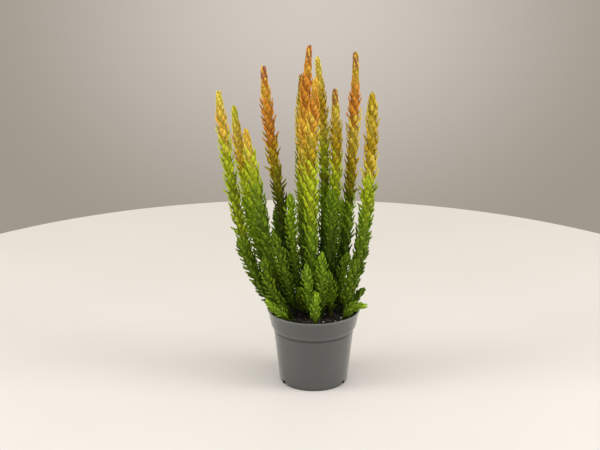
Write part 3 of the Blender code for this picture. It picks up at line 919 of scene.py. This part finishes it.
def make_peat_body(settings):
    """The peat: a lumpy top on a body that fills the pot down to its floor."""
    form = bmesh.new()
    loops = []
    for ring in range(1, PEAT_RINGS + 1):
        outline = ring_points(FILL_RADII[-1] * MM * ring / PEAT_RINGS, PEAT_SIDES)
        loops.append([form.verts.new((x, y, peat_height(x, y, settings.lump_height)))
                      for x, y in outline])
    top = form.verts.new((0.0, 0.0, peat_height(0.0, 0.0, settings.lump_height)))
    levels = np.linspace(FILL_HEIGHTS[-1] - FILL_DROP, FILL_HEIGHTS[0],
                         FILL_STEPS * len(FILL_HEIGHTS))
    for level in levels:
        outline = ring_points(float(np.interp(level, FILL_HEIGHTS, FILL_RADII)) * MM, PEAT_SIDES)
        loops.append([form.verts.new((x, y, level * MM)) for x, y in outline])
    for side in range(PEAT_SIDES):
        after = (side + 1) % PEAT_SIDES
        form.faces.new((top, loops[0][side], loops[0][after]))
        for inner, outer in zip(loops, loops[1:]):
            form.faces.new((inner[after], inner[side], outer[side], outer[after]))
    form.faces.new(list(reversed(loops[-1])))
    return form_object("peat", form)


def crumb_tree():
    """Crumbs of many sizes scattered over the upward faces of a body, kept with the body."""
    tree, given = new_tree("Peat crumbs", (
        ("Crumb", "Object"), ("Crumb gap", "Float"), ("Crumb size", "Float"),
        ("Lowest", "Float"), ("Seed", "Int"), ("Material", "Material")))
    seed = given["Seed"]
    body = add_node(tree, "GeometryNodeSetShadeSmooth", {"Geometry": given["Geometry"]}).outputs[0]
    place = add_node(tree, "GeometryNodeInputPosition").outputs[0]
    height = add_node(tree, "ShaderNodeSeparateXYZ", {0: place}).outputs["Z"]
    spread = add_node(tree, "GeometryNodeDistributePointsOnFaces", {
        "Mesh": given["Geometry"], "Selection": calc(tree, "GREATER_THAN", height, given["Lowest"]),
        "Distance Min": given["Crumb gap"], "Density Max": CRUMB_DENSITY, "Seed": seed,
    }, distribute_method="POISSON")
    # Cubing the random value makes most crumbs small
    pick = calc(tree, "POWER", chance(tree, 0.0, 1.0, seed, 1), 3.0)
    size = product(tree, ease(tree, pick, 0.0, 1.0, CRUMB_LEAST, 1.0, kind="LINEAR"),
                   given["Crumb size"])
    turns = [chance(tree, 0.0, 2.0 * pi, seed, step) for step in (2, 3, 4)]
    turn = add_node(tree, "ShaderNodeCombineXYZ", dict(enumerate(turns))).outputs[0]
    flat = product(tree, size, chance(tree, CRUMB_FLAT, 1.0, seed, 5))
    scale = add_node(tree, "ShaderNodeCombineXYZ", {0: size, 1: flat, 2: flat}).outputs[0]
    crumb = add_node(tree, "GeometryNodeObjectInfo", {"Object": given["Crumb"]}).outputs["Geometry"]
    marked = store(tree, spread.outputs["Points"], chance=chance(tree, 0.0, 1.0, seed, 6))
    laid = add_node(tree, "GeometryNodeInstanceOnPoints", {
        "Points": marked, "Instance": crumb, "Scale": scale,
        "Rotation": add_node(tree, "FunctionNodeEulerToRotation", {0: turn}).outputs[0]})
    finish_tree(tree, (body, laid.outputs[0]), given["Material"])
    return tree


def crumb_blank():
    """A small lump of about one unit radius."""
    form = bmesh.new()
    bmesh.ops.create_icosphere(form, subdivisions=1, radius=1.0)
    for vert in form.verts:
        vert.co *= CRUMB_ROUND + CRUMB_ROUGH * noise.noise(vert.co * CRUMB_WAVES + CRUMB_SHIFT)
    return smooth_object("crumb_blank", form)


def make_peat(settings):
    """The peat body with its crumbs, as one piece."""
    crumb = crumb_blank()
    peat = apply_tree(make_peat_body(settings), crumb_tree(), {
        "Crumb": crumb, "Crumb gap": settings.crumb_gap, "Crumb size": settings.crumb_size,
        "Lowest": CRUMB_LOWEST * MM, "Seed": settings.seed, "Material": peat_material(settings)})
    bpy.data.objects.remove(crumb, do_unlink=True)
    return peat


def scatter(count, seed, outer):
    """Places on the peat, spread evenly over its area, each with a random number generator."""
    dice = np.random.default_rng(seed)
    places = []
    for step in range(count):
        radius = outer * ((step + 0.5) / count) ** 0.5 * MM
        angle = GOLDEN_TURN * step + dice.uniform(-STRAY_TURN, STRAY_TURN)
        places.append((radius * cos(angle), radius * sin(angle), dice))
    return places


def make_grains(settings):
    """Pale mineral grains, half sunk in the peat."""
    form = bmesh.new()
    spread = scatter(settings.grain_count, settings.seed + GRAIN_SEED, GRAIN_REACH)
    spots = [(x, y, dice.uniform(*GRAIN_RADII) * MM) for x, y, dice in spread]
    spots += [tuple(MM * value for value in large) for large in LARGE_GRAINS]
    for x, y, size in spots:
        place = Vector((x, y, peat_height(x, y, settings.lump_height) + GRAIN_LIFT * size))
        made = bmesh.ops.create_icosphere(
            form, subdivisions=2, radius=size, matrix=Matrix.Translation(place))
        for vert in made["verts"]:
            share = GRAIN_ROUND + GRAIN_ROUGH * noise.noise(vert.co * GRAIN_WAVES)
            vert.co = place + (vert.co - place) * share
    grains = smooth_object("white_grains", form)
    grains.data.materials.append(speck_material("mineral_grain", settings.pale, 0.3 * MM))
    return grains


def fibre_rings(form, settings, x, y, dice):
    """Rings of one bent fibre that lies across the crumbs and ends in two points."""
    length = dice.uniform(*FIBRE_LENGTHS) * MM
    radius = dice.uniform(*FIBRE_RADII) * MM
    turn = dice.uniform(0.0, 2.0 * pi)
    bend = dice.uniform(-FIBRE_BEND, FIBRE_BEND)
    up = Vector((0.0, 0.0, 1.0))
    rings = []
    for step in range(FIBRE_RINGS):
        share = step / (FIBRE_RINGS - 1) - 0.5
        angle = turn + bend * share
        px = x + length * share * cos(angle)
        py = y + length * share * sin(angle)
        inside = min(1.0, FIBRE_LIMIT * MM / max((px * px + py * py) ** 0.5, MM))
        px, py = px * inside, py * inside
        height = peat_height(px, py, settings.lump_height) + FIBRE_LIFT * settings.crumb_size
        middle = Vector((px, py, height + FIBRE_ARCH * MM * cos(pi * share)))
        slim = radius * (1.0 - FIBRE_TAPER * abs(2.0 * share) ** 3)
        across = Vector((-sin(angle), cos(angle), 0.0))
        rings.append([form.verts.new(middle + slim * (side * across + rise * up))
                      for side, rise in ring_points(1.0, FIBRE_SIDES)])
    return rings


def make_fibres(settings):
    """Pale bits of fibre that lie on the peat."""
    form = bmesh.new()
    for x, y, dice in scatter(settings.fibre_count, settings.seed + FIBRE_SEED, FIBRE_REACH):
        close_tube(form, fibre_rings(form, settings, x, y, dice))
    bmesh.ops.recalc_face_normals(form, faces=form.faces)
    fibres = smooth_object("peat_fibres", form)
    fibres.data.materials.append(speck_material("plant_fibre", settings.straw, 0.6 * MM))
    return fibres


def leaf_blank(name, stations, width, thickness, bow):
    """One keeled leaf, a unit long, that rises from its root and bows outwards."""
    form = bmesh.new()
    along = form.verts.layers.float.new("along")
    keel = form.verts.layers.float.new("keel")
    rings = []
    for share, wide, thick in stations:
        lift = bow * share * (2.0 - share)
        ring = []
        for across, out in LEAF_RIM:
            vert = form.verts.new((lift + out * thick * thickness, across * wide * width, share))
            vert[along] = share
            vert[keel] = 1.0 - abs(across)
            ring.append(vert)
        rings.append(ring)
    tip = form.verts.new((LEAF_TIP[0] * bow + LEAF_TIP[1] * thickness, 0.0, 1.0))
    tip[along] = 1.0
    close_tube(form, rings, tip)
    bmesh.ops.recalc_face_normals(form, faces=form.faces)
    return smooth_object(name, form)


def below_tip(tree, given, pair):
    """Distance of each pair below the tip, which grows by less among the youngest pairs."""
    tip_pairs = given["Tip pairs"]
    fading = calc(tree, "EXPONENT", calc(tree, "DIVIDE", product(tree, pair, -1.0), tip_pairs))
    saved = product(tree, given["Tip closeness"], tip_pairs, calc(tree, "SUBTRACT", 1.0, fading))
    first = product(tree, given["Tip leaf length"], TIP_REACH)
    return calc(tree, "MULTIPLY_ADD", calc(tree, "SUBTRACT", pair, saved), given["Spacing"], first)


def foot_share(tree, given, length, up):
    """Size at a height up the stem, as a share of the full size: least at the shaded foot."""
    shaded = calc(tree, "MINIMUM", given["Shaded length"], product(tree, length, MOST_SHADED))
    return ease(tree, up, given["First leaf"], shaded, FOOT_SHARE, 1.0)


def tip_share(tree, below, swell_end):
    """Girth at a distance below the tip, as a share of the full girth."""
    return ease(tree, below, 0.0, swell_end, TIP_GIRTH, 1.0, kind="LINEAR")


def leaf_turn(tree, given, spot, pair, side):
    """Turn of each leaf round the stem, with its length along the stem."""
    stand = add_node(tree, "FunctionNodeAxesToRotation", {
        "Primary Axis": spot.outputs["Tangent"], "Secondary Axis": spot.outputs["Normal"]})
    astray = product(tree, given["Scatter"], chance(tree, -1.0, 1.0, given["Seed"], 1))
    angle = calc(tree, "ADD", calc(tree, "MULTIPLY_ADD", pair, PAIR_TURN, given["Turn"]),
                 calc(tree, "MULTIPLY_ADD", side, pi, astray))
    turn = add_node(tree, "FunctionNodeAxisAngleToRotation", {
        "Axis": (0.0, 0.0, 1.0), "Angle": angle})
    return add_node(tree, "FunctionNodeRotateRotation", {
        0: stand.outputs[0], 1: turn.outputs[0]}, rotation_space="LOCAL").outputs[0]


def leaf_lean(tree, given, below, swell):
    """Angle of each leaf with the stem: grown leaves lean out, and a few old ones stand out."""
    seed = given["Seed"]
    span = calc(tree, "SUBTRACT", given["Lean"], given["Tip lean"])
    lean = calc(tree, "MULTIPLY_ADD", swell, span, given["Tip lean"])
    jitter = product(tree, chance(tree, -LEAN_JITTER, LEAN_JITTER, seed, 2),
                     calc(tree, "MAXIMUM", swell, LEAN_JITTER_TIP))
    lean = calc(tree, "ADD", lean, jitter)
    astray = calc(tree, "POWER", chance(tree, 0.0, 1.0, seed, 6), 4.0)
    most = ease(tree, below, *ASTRAY_SPAN, 0.0, ASTRAY_LEAN)
    lean = calc(tree, "MULTIPLY_ADD", astray, most, lean)
    closed = ease(tree, below, given["Tip leaf length"], CLOSED_LENGTH, CLOSED_LEAN, 0.0)
    return calc(tree, "ADD", lean, closed)


def leaf_scale(tree, given, swell, shade):
    """Length and width of each leaf, no two quite the same."""
    seed = given["Seed"]
    span = calc(tree, "SUBTRACT", given["Leaf length"], given["Tip leaf length"])
    size = calc(tree, "MULTIPLY_ADD", swell, span, given["Tip leaf length"])
    size = product(tree, size, shade, chance(tree, *LENGTH_RANGE, seed, 4))
    width = product(tree, size, chance(tree, *WIDTH_RANGE, seed, 5))
    return add_node(tree, "ShaderNodeCombineXYZ", {0: size, 1: width, 2: size}).outputs[0]


def grow_leaves(tree, given, length, swell_end):
    """Leaves in crossed pairs, closer, smaller and more upright towards the tip."""
    index = add_node(tree, "GeometryNodeInputIndex").outputs[0]
    pair = calc(tree, "FLOOR", calc(tree, "DIVIDE", index, 2.0))
    side = calc(tree, "MODULO", index, 2.0)
    below = below_tip(tree, given, pair)
    up = calc(tree, "SUBTRACT", length, below)
    swell = ease(tree, below, given["Slim length"], swell_end, 0.0, 1.0)
    shade = foot_share(tree, given, length, up)
    spot = add_node(tree, "GeometryNodeSampleCurve", {
        "Curves": given["Geometry"], "Length": up}, mode="LENGTH")
    turned = leaf_turn(tree, given, spot, pair, side)
    tilt = add_node(tree, "FunctionNodeAxisAngleToRotation", {
        "Axis": (0.0, 1.0, 0.0), "Angle": leaf_lean(tree, given, below, swell)})
    rotation = add_node(tree, "FunctionNodeRotateRotation", {
        0: turned, 1: tilt.outputs[0]}, rotation_space="LOCAL").outputs[0]
    # Each leaf's root lies a little under the wood's surface
    outward = add_node(tree, "FunctionNodeRotateVector", {0: (1.0, 0.0, 0.0), 1: turned})
    slimness = product(tree, shade, tip_share(tree, below, swell_end))
    root = product(tree, given["Stem radius"], slimness, ROOT_DEPTH)
    step_out = add_node(tree, "ShaderNodeVectorMath", {
        0: outward.outputs[0], "Scale": root}, operation="SCALE")
    place = add_node(tree, "ShaderNodeVectorMath", {
        0: spot.outputs["Position"], 1: step_out.outputs[0]}, operation="ADD")
    points = add_node(tree, "GeometryNodePoints", {
        "Count": given["Most leaves"], "Position": place.outputs[0]}).outputs[0]
    pick = chance(tree, 0.0, 1.0, given["Seed"], 3)
    # The rise share also paints shade at the foot in the leaf material
    points = store(tree, points, below_tip=below, rise=shade, chance=pick)
    leaf = add_node(tree, "GeometryNodeObjectInfo", {"Object": given["Leaf"]}).outputs["Geometry"]
    return add_node(tree, "GeometryNodeInstanceOnPoints", {
        "Points": points, "Instance": leaf, "Rotation": rotation,
        "Scale": leaf_scale(tree, given, swell, shade),
        "Selection": calc(tree, "GREATER_THAN", up, given["First leaf"])}).outputs[0]


def grow_wood(tree, given, length, swell_end):
    """The woody stem, slimmer towards its tip and its shaded foot."""
    run = add_node(tree, "GeometryNodeSplineParameter").outputs["Length"]
    below = calc(tree, "SUBTRACT", length, run)
    rise = foot_share(tree, given, length, run)
    taper = product(tree, tip_share(tree, below, swell_end), rise)
    girth = product(tree, given["Stem radius"], taper, ease(tree, below, *END_SPAN, *END_GIRTH))
    ring = add_node(tree, "GeometryNodeCurvePrimitiveCircle", {
        "Resolution": STEM_SIDES, "Radius": 1.0})
    # The rise share also paints shade at the foot in the leaf material
    marked = store(tree, given["Geometry"], below_tip=below, rise=rise)
    wood = add_node(tree, "GeometryNodeCurveToMesh", {
        "Curve": marked, "Profile Curve": ring.outputs[0], "Scale": girth, "Fill Caps": True})
    bark = store(tree, wood.outputs[0], woody=1.0)
    return add_node(tree, "GeometryNodeSetShadeSmooth", {"Geometry": bark}).outputs[0]


def leafy_stem_tree():
    """A woody stem along a curve, clothed in leaves."""
    tree, given = new_tree("Leafy stem", (
        ("Leaf", "Object"), ("Leaf length", "Float"), ("Tip leaf length", "Float"),
        ("Spacing", "Float"), ("Lean", "Float"), ("Tip lean", "Float"), ("Slim length", "Float"),
        ("Swell length", "Float"), ("Stem radius", "Float"), ("Most leaves", "Int"),
        ("Tip pairs", "Float"), ("Tip closeness", "Float"), ("First leaf", "Float"),
        ("Shaded length", "Float"), ("Scatter", "Float"), ("Turn", "Float"), ("Seed", "Int"),
        ("Material", "Material")))
    length = add_node(tree, "GeometryNodeCurveLength", {"Curve": given["Geometry"]}).outputs[0]
    swell_end = calc(tree, "ADD", given["Slim length"], given["Swell length"])
    finish_tree(tree, (grow_wood(tree, given, length, swell_end),
                       grow_leaves(tree, given, length, swell_end)), given["Material"])
    return tree


def centre_line(node):
    """Centre line of a solid stem, from below the peat's top to its very tip."""
    mesh = frame["nodes"][node].data
    points = np.empty(3 * len(mesh.vertices))
    mesh.vertices.foreach_get("co", points)
    points = np.unique(np.round(points.reshape(-1, 3), 7), axis=0)
    foot = points[points[:, 2] < points[:, 2].min() + 0.1 * MM].mean(axis=0)
    start = np.array((foot[0], foot[1], SOIL_TOP))
    tip = points[np.linalg.norm(points - start, axis=1).argmax()]
    chord = tip - start
    leafy = points[points[:, 2] > start[2]]
    spots = np.concatenate((leafy, (start, tip)))
    weights = np.ones(len(spots))
    weights[-2:] = END_WEIGHT
    along = (spots - start) @ chord / (chord @ chord)
    steps = np.linspace(0.0, 1.0, PATH_POINTS)
    fits = [np.polyval(np.polyfit(along, spots[:, axis], PATH_DEGREE, w=weights), steps)
            for axis in range(3)]
    below = (start[0], start[1], start[2] - FOOT_SINK)
    return np.concatenate(((below,), np.stack(fits, axis=1)))


def stem_curve(name, points):
    """A curve through the points."""
    curve = bpy.data.curves.new(name, "CURVE")
    curve.dimensions = "3D"
    spline = curve.splines.new("POLY")
    spline.points.add(len(points) - 1)
    for knot, point in zip(spline.points, points):
        knot.co = (*point, 1.0)
    return link_object(name, curve)


def grow_stem(curve, tree, leaf, settings, material, number, slim=1.0, full=1.0):
    """One leafy stem on a curve: slim scales its slim tip, and full its leaves and wood."""
    return apply_tree(curve, tree, {
        "Leaf": leaf, "Leaf length": settings.leaf_length * full,
        "Tip leaf length": settings.tip_leaf_length * full, "Spacing": settings.spacing * full,
        "Lean": settings.lean, "Tip lean": settings.tip_lean,
        "Slim length": settings.slim_length * slim, "Swell length": settings.swell_length,
        "Stem radius": settings.stem_radius * full, "Most leaves": MOST_LEAVES,
        "Tip pairs": TIP_PAIRS, "Tip closeness": TIP_CLOSENESS, "First leaf": FIRST_LEAF,
        "Shaded length": SHADED_LENGTH, "Scatter": settings.scatter,
        "Turn": GOLDEN_TURN * number, "Seed": 11 * number + 3, "Material": material})


def stem_nodes(prefix):
    """Names and material slots of the stems of one kind, in the record's order."""
    parts = frame["record"]["subparts"]
    return [(part["node"], part["material_slot"]) for part in parts
            if part["node"].startswith(prefix)]


def place_floor(settings):
    """A plain round floor, painted darker towards its far side as shade."""
    form = bmesh.new()
    centre = (CAMERA_PLACE[0], FLOOR_EDGE - settings.floor_radius, -FLOOR_THICKNESS / 2.0)
    bmesh.ops.create_cone(
        form, cap_ends=True, segments=FLOOR_SIDES, radius1=settings.floor_radius,
        radius2=settings.floor_radius, depth=FLOOR_THICKNESS, matrix=Matrix.Translation(centre))
    floor = form_object("floor", form)
    material, tree, shader = new_material("floor_paint")
    # Painted shade: the floor darkens towards its far side
    far = ease(tree, place_along(tree, "Y"), *FLOOR_FADE, 0.0, 1.0)
    tone = blend(tree, far, opaque(settings.floor_colour), opaque(settings.far_colour))
    cloud = ease(tree, grain(tree, FLOOR_CLOUD), *NOISE_SPAN, *FLOOR_TONES, kind="LINEAR")
    feed(tree, shader.inputs["Base Color"], tinted(tree, tone, cloud))
    set_shader(shader, Roughness=0.6, Specular_IOR_Level=0.3)
    floor.data.materials.append(material)


def place_lights(settings):
    """Large soft lights that face the plant."""
    for name, size, place in LIGHTS:
        light = bpy.data.lights.new(name + "_light", "AREA")
        light.shape = "DISK"
        light.size = size
        light.energy = getattr(settings, name + "_power")
        item = link_object(name + "_light", light)
        item.location = place
        item.rotation_euler = (LIGHT_TARGET - Vector(place)).to_track_quat("-Z", "Y").to_euler()


def fill_air(settings):
    """Even light from above, and a plain wall with a pale middle round the floor."""
    world = bpy.data.worlds.new("even_air")
    world.use_nodes = True
    air = world.node_tree
    background = air.nodes["Background"]
    background.inputs["Strength"].default_value = settings.air_strength
    shaped = add_node(air, "ShaderNodeVectorMath", {0: object_place(air), 1: GLOW_SHAPE},
                      operation="MULTIPLY").outputs["Vector"]
    apart = add_node(air, "ShaderNodeVectorMath", {0: shaped, 1: GLOW_CENTRE * GLOW_SHAPE},
                     operation="DISTANCE").outputs["Value"]
    glow = ease(air, apart, 0.0, GLOW_REACH, 1.0, 0.0)
    wall = blend(air, glow, opaque(settings.wall_colour), opaque(settings.glow_colour))
    above = ease(air, place_along(air, "Z"), *AIR_SLOPES, 0.0, 1.0)
    feed(air, background.inputs["Color"], blend(air, above, wall, opaque(settings.air_colour)))
    bpy.context.scene.world = world


def place_camera():
    """The camera at the picture's viewing angle."""
    camera = bpy.data.cameras.new("camera")
    camera.lens = CAMERA_LENS
    camera.sensor_width = CAMERA_SENSOR
    camera.clip_start = CAMERA_NEAREST
    item = link_object("camera", camera)
    item.location = CAMERA_PLACE
    item.rotation_euler = (radians(90.0 - CAMERA_TILT), 0.0, 0.0)
    bpy.context.scene.camera = item


class HEATHER_OT_pot(bpy.types.Operator):
    """Make the nursery pot"""

    bl_idname = "heather.make_pot"
    bl_label = "Pot"

    def execute(self, context):
        """Turn the pot, cut its drains and attach it to the body."""
        hand_in(make_pot(context.scene.heather_pot), "pot_plastic", "pot")
        return {"FINISHED"}


class HEATHER_OT_peat(bpy.types.Operator):
    """Make the peat with its crumbs, grains and fibres"""

    bl_idname = "heather.make_peat"
    bl_label = "Peat"

    def execute(self, context):
        """Fill the pot and strew the small bits."""
        settings = context.scene.heather_peat
        hand_in(make_peat(settings), "peat", "soil")
        hand_in(make_grains(settings), "peat")
        hand_in(make_fibres(settings), "peat")
        return {"FINISHED"}


class HEATHER_OT_spikes(bpy.types.Operator):
    """Grow the long spikes"""

    bl_idname = "heather.grow_spikes"
    bl_label = "Long spikes"

    def execute(self, context):
        """Clothe each long stem in pointed leaves."""
        settings = context.scene.heather_spikes
        palette = context.scene.heather_colours
        tree = leafy_stem_tree()
        leaf = leaf_blank("pointed_leaf", LEAF_STATIONS, *POINTED_LEAF)
        for number, (node, slot) in enumerate(stem_nodes("spike_")):
            material = leaf_material(node + "_leaves", SPIKE_STOPS[node], palette)
            curve = stem_curve("leafy_" + node, centre_line(node))
            piece = grow_stem(curve, tree, leaf, settings, material, number, *SPIKE_SHAPES[node])
            hand_in(piece, slot, node)
        bpy.data.objects.remove(leaf, do_unlink=True)
        return {"FINISHED"}


class HEATHER_OT_shoots(bpy.types.Operator):
    """Grow the short shoots and the sprig on the peat"""

    bl_idname = "heather.grow_shoots"
    bl_label = "Short shoots"

    def execute(self, context):
        """Clothe each short stem in blunter leaves."""
        settings = context.scene.heather_shoots
        palette = context.scene.heather_colours
        tree = leafy_stem_tree()
        leaf = leaf_blank("blunt_leaf", BLUNT_STATIONS, *BLUNT_LEAF)
        shades = {shade: leaf_material(shade + "_shoot_leaves", stops, palette)
                  for shade, stops in SHOOT_STOPS.items()}
        for number, (node, slot) in enumerate(stem_nodes("shoot_"), start=FIRST_SHOOT):
            material = shades[SHOOT_SHADES.get(node, "grass")]
            full = RIM_FULL if node.startswith("shoot_rim") else 1.0
            curve = stem_curve("leafy_" + node, centre_line(node))
            piece = grow_stem(curve, tree, leaf, settings, material, number, full=full)
            hand_in(piece, slot, node)
        curve = stem_curve("peat_sprig", [tuple(MM * value for value in point) for point in SPRIG])
        sprig = grow_stem(
            curve, tree, leaf, settings, shades["leaf"], SPRIG_NUMBER, full=SPRIG_FULL)
        hand_in(sprig, "green_foliage")
        bpy.data.objects.remove(leaf, do_unlink=True)
        return {"FINISHED"}


class HEATHER_OT_stage(bpy.types.Operator):
    """Set the floor, the light and the camera"""

    bl_idname = "heather.set_stage"
    bl_label = "Stage"

    def execute(self, context):
        """Place the floor, the lights and the camera."""
        settings = context.scene.heather_stage
        place_floor(settings)
        place_lights(settings)
        fill_air(settings)
        place_camera()
        context.scene.view_settings.view_transform = "Standard"
        return {"FINISHED"}


OPERATORS = (
    HEATHER_OT_stage,
    HEATHER_OT_pot,
    HEATHER_OT_peat,
    HEATHER_OT_spikes,
    HEATHER_OT_shoots,
)
SETTINGS = {
    "heather_pot": PotSettings,
    "heather_peat": PeatSettings,
    "heather_spikes": SpikeSettings,
    "heather_shoots": ShootSettings,
    "heather_colours": FoliageColours,
    "heather_stage": StageSettings,
}


class HEATHER_PT_panel(bpy.types.Panel):
    """Sidebar panel with each step and its settings"""

    bl_idname = "HEATHER_PT_panel"
    bl_label = "Potted heather"
    bl_space_type = "VIEW_3D"
    bl_region_type = "UI"
    bl_category = "Heather"

    def draw(self, context):
        """List the steps, then the settings."""
        for operator in OPERATORS:
            self.layout.operator(operator.bl_idname)
        for pointer, group in SETTINGS.items():
            box = self.layout.box()
            box.label(text=group.__doc__.rstrip("."))
            for name in group.__annotations__:
                box.prop(getattr(context.scene, pointer), name)


def register():
    """Make the classes and settings known."""
    for item in (*SETTINGS.values(), *OPERATORS, HEATHER_PT_panel):
        bpy.utils.register_class(item)
    for pointer, group in SETTINGS.items():
        setattr(bpy.types.Scene, pointer, PointerProperty(type=group))


def unregister():
    """Take the classes and settings away again."""
    for pointer in SETTINGS:
        delattr(bpy.types.Scene, pointer)
    for item in reversed((*SETTINGS.values(), *OPERATORS, HEATHER_PT_panel)):
        bpy.utils.unregister_class(item)


def main():
    """Make every piece."""
    register()
    bpy.ops.heather.set_stage()
    bpy.ops.heather.make_pot()
    bpy.ops.heather.make_peat()
    bpy.ops.heather.grow_spikes()
    bpy.ops.heather.grow_shoots()


if __name__ == "__main__":
    main()
